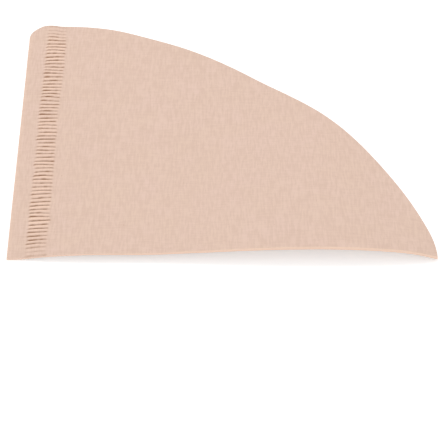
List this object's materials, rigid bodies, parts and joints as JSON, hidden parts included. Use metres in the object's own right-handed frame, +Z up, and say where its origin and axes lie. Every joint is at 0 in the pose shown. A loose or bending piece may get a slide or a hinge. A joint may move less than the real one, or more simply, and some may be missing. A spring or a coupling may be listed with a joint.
{
  "type": "paper coffee filter",
  "caption": "Cone-shaped coffee filter of brown paper, folded flat to a quarter round, with a crimped seam; opened out it holds ground coffee in a dripper.",
  "frame": {"origin": "middle of the outline as it lies folded flat, on the surface that it lies on", "axes": "+X along the fold from the seam to the rim, +Y along the seam from the fold to the rim, +Z up from the surface"},
  "size_m": [0.1282, 0.117, 0.0053],
  "materials": {
    "unbleached_paper": "matt, finely creped"
  },
  "bodies": {
    "root": {"paper_filter": "unbleached_paper"}
  },
  "joints": []
}
